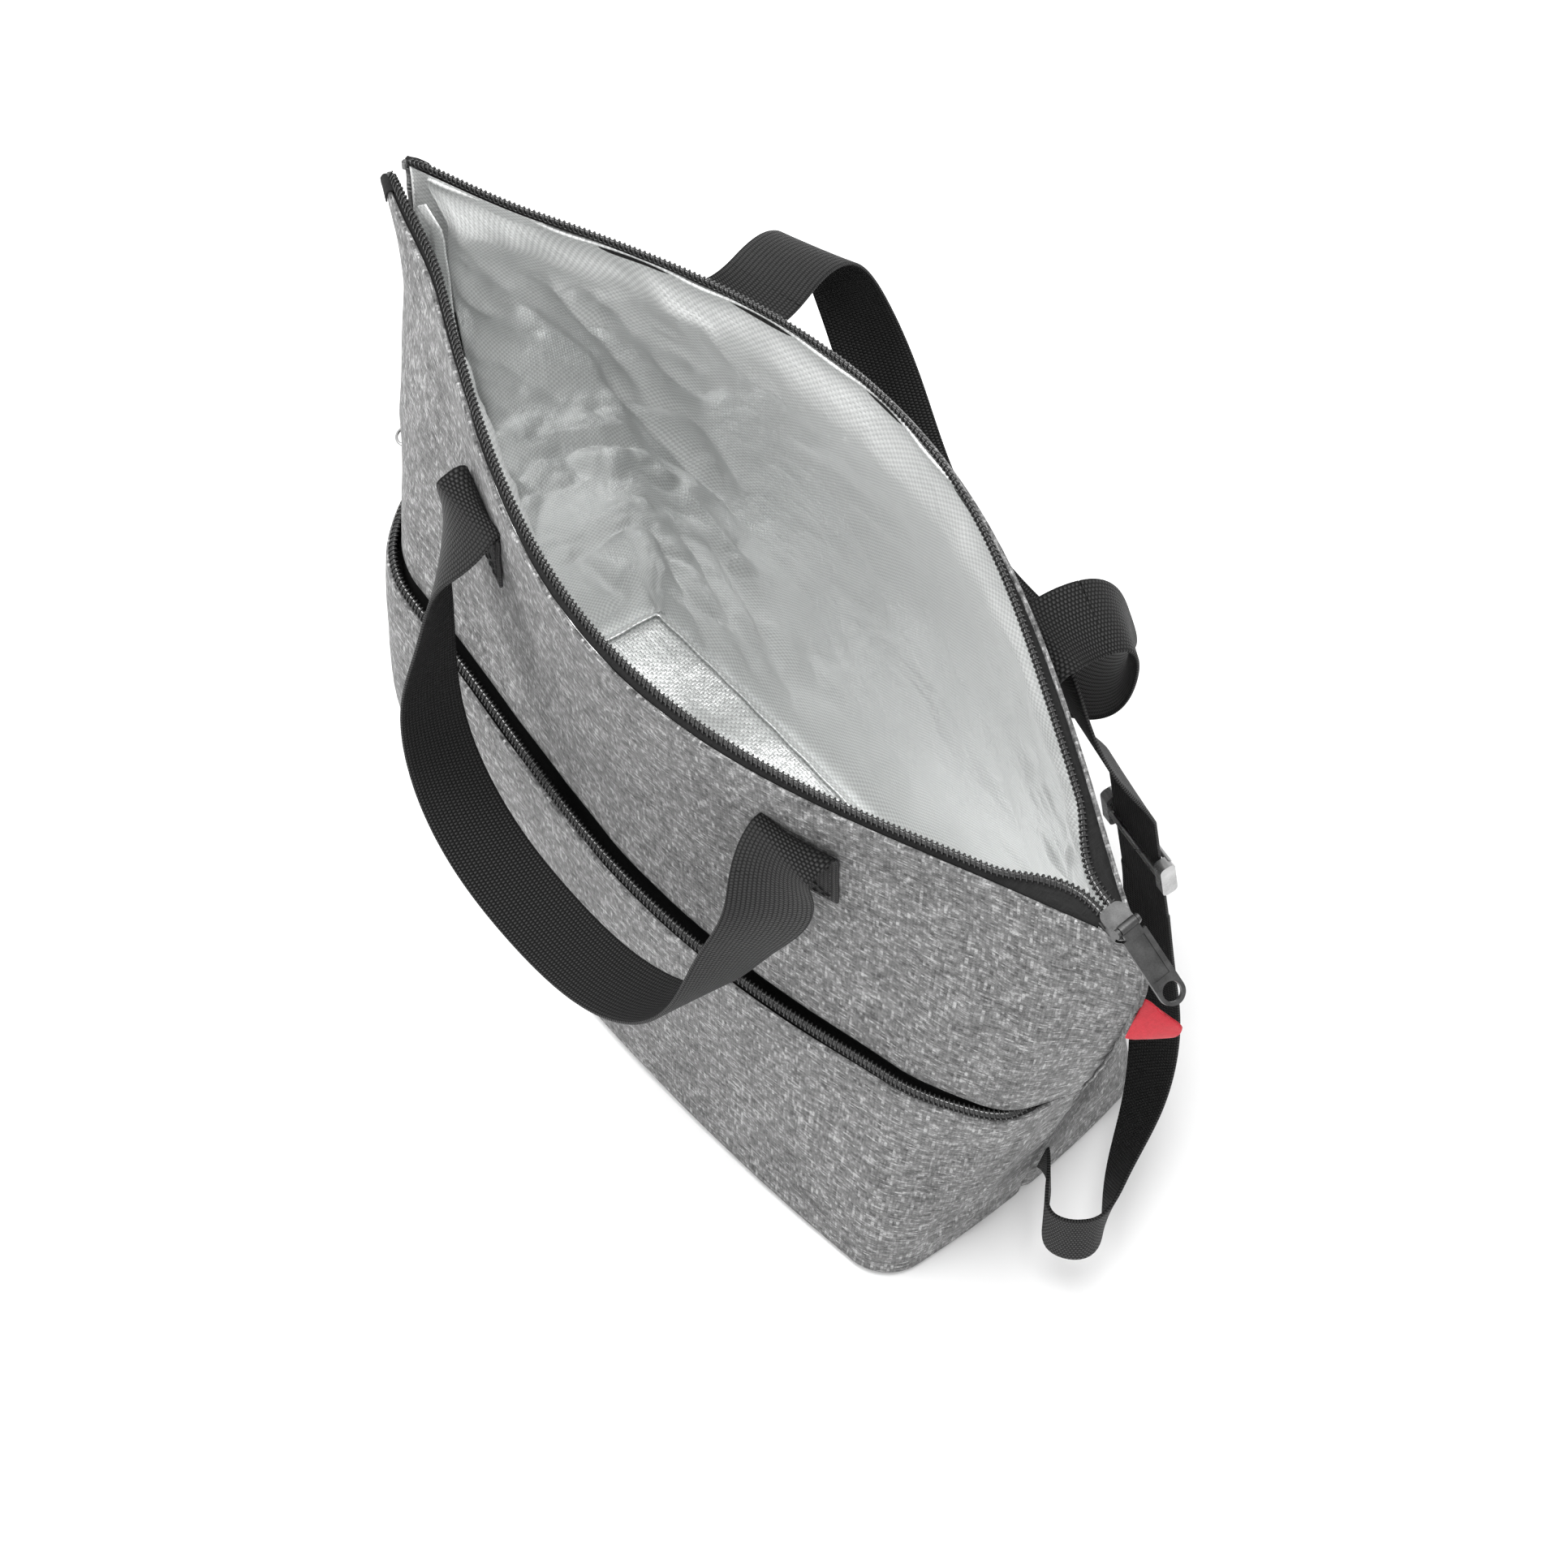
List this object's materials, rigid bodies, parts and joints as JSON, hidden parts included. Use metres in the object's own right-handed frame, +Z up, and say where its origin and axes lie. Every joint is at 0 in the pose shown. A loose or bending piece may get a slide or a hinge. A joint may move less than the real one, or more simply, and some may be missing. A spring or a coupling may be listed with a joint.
{
  "type": "insulated cooler bag",
  "caption": "Soft insulated tote with a zipped wide mouth, foil lining, zipped front pocket, two webbing handles and two adjustable back straps.",
  "frame": {"origin": "centre of the floor panel, on the ground", "axes": "+X along the mouth towards the main slider, -Y towards the front pocket, +Z up"},
  "size_m": [0.434, 0.2551, 0.3767],
  "materials": {
    "grey_fabric": "heather grey woven polyester, matt",
    "black_lining": "thin black pocket lining",
    "white_foam": "closed-cell foam",
    "silver_foil": "crinkled aluminised foil",
    "zip_tape": "woven zip tape",
    "zip_coil": "nylon coil",
    "black_webbing": "ribbed webbing",
    "dark_metal": "gunmetal, satin",
    "bright_metal": "polished wire and die-cast",
    "red_tag": "blank folded woven tag"
  },
  "bodies": {
    "bag": {"back_handle_tail_left": "black_webbing", "back_handle_tail_right": "black_webbing", "back_panel": "grey_fabric", "base_panel": "grey_fabric", "foam_back": "white_foam", "foam_base": "white_foam", "foam_front": "white_foam", "front_handle_tail_left": "black_webbing", "front_handle_tail_right": "black_webbing", "front_panel": "grey_fabric", "left_strap": "black_webbing", "lining_back": "silver_foil", "lining_base": "silver_foil", "lining_front": "silver_foil", "mouth_coil_back": "zip_coil", "mouth_coil_front": "zip_coil", "mouth_end_tabs": "zip_tape", "mouth_tape_back": "zip_tape", "mouth_tape_front": "zip_tape", "pocket_coil_lower": "zip_coil", "pocket_coil_upper": "zip_coil", "pocket_lining": "black_lining", "pocket_panel": "grey_fabric", "pocket_tape_lower": "zip_tape", "pocket_tape_upper": "zip_tape", "right_strap": "black_webbing", "side_tag": "red_tag"},
    "front_handle_body": {"front_handle": "black_webbing"},
    "back_handle_body": {"back_handle": "black_webbing"},
    "main_slider_body": {"main_slider": "dark_metal"},
    "main_puller_body": {"main_puller": "dark_metal"},
    "pocket_slider_body": {"pocket_slider": "dark_metal"},
    "pocket_puller_body": {"pocket_puller": "bright_metal"},
    "left_adjuster_body": {"left_adjuster": "bright_metal"},
    "right_adjuster_body": {"right_adjuster": "bright_metal"}
  },
  "joints": [
    {"name": "front_handle_swing", "type": "hinge", "parent": "bag", "child": "front_handle_body", "pos_m": [0, -0.06678, 0.335], "axis": [-1, 0, 0], "range_deg": [0, 140]},
    {"name": "back_handle_swing", "type": "hinge", "parent": "bag", "child": "back_handle_body", "pos_m": [0, 0.06412, 0.335], "axis": [1, 0, 0], "range_deg": [0, 120]},
    {"name": "main_slider_slide", "type": "slide", "parent": "bag", "child": "main_slider_body", "axis": [-0.99, 0, 0.1413], "range_m": [0, 0.0045]},
    {"name": "main_puller_swing", "type": "hinge", "parent": "main_slider_body", "child": "main_puller_body", "pos_m": [0.19675, -0.00053, 0.36482], "axis": [0, -1, 0], "range_deg": [0, 193]},
    {"name": "pocket_slider_slide", "type": "slide", "parent": "bag", "child": "pocket_slider_body", "axis": [0.1664, -0.9861, 0], "range_m": [0, 0.008]},
    {"name": "pocket_puller_swing", "type": "hinge", "parent": "pocket_slider_body", "child": "pocket_puller_body", "pos_m": [-0.19076, -0.02128, 0.17882], "axis": [-0.1274, -0.0215, 0.9916], "range_deg": [-45, 45]},
    {"name": "right_adjuster_slide", "type": "slide", "parent": "bag", "child": "right_adjuster_body", "axis": [-0.151, -0.0137, 0.9884], "range_m": [-0.022, 0.022]},
    {"name": "left_adjuster_slide", "type": "slide", "parent": "bag", "child": "left_adjuster_body", "axis": [0.151, -0.0137, 0.9884], "range_m": [-0.022, 0.022]}
  ]
}
